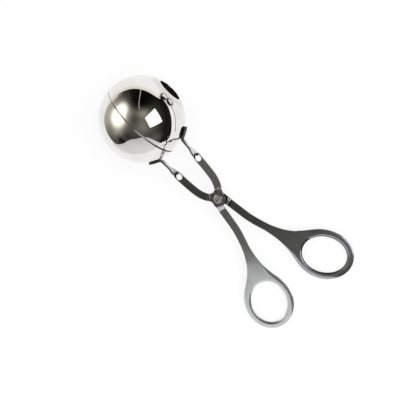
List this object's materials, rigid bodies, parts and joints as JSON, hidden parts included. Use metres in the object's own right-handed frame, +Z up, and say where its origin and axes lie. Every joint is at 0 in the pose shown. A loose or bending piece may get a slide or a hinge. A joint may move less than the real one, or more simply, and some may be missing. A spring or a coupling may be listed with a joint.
{
  "type": "meatball tongs",
  "caption": "Scissor tongs whose arms end in mirror-polished half-ball cups that close to a ball, with drain holes, and in oval finger rings.",
  "frame": {"origin": "middle of the closed tongs' bounding box, on the ground they lie on", "axes": "+X from the ball to the finger rings, +Y towards the top arm's cup and the bottom arm's finger ring, +Z up"},
  "size_m": [0.1604, 0.0708, 0.048],
  "materials": {
    "arm_steel": "satin, tumbled stainless steel sheet",
    "cup_steel": "mirror-polished stainless steel",
    "rivet_steel": "plain turned steel"
  },
  "bodies": {
    "bottom_half": {"bottom_arm": "arm_steel", "bottom_arm_cup": "cup_steel", "pivot_rivet": "rivet_steel"},
    "top_half": {"top_arm": "arm_steel", "top_arm_cup": "cup_steel"}
  },
  "joints": [
    {"name": "pivot", "type": "hinge", "parent": "bottom_half", "child": "top_half", "pos_m": [0.00349, 0, 0.01372], "axis": [-0.1693, 0, -0.9856], "range_deg": [0, 50]}
  ]
}
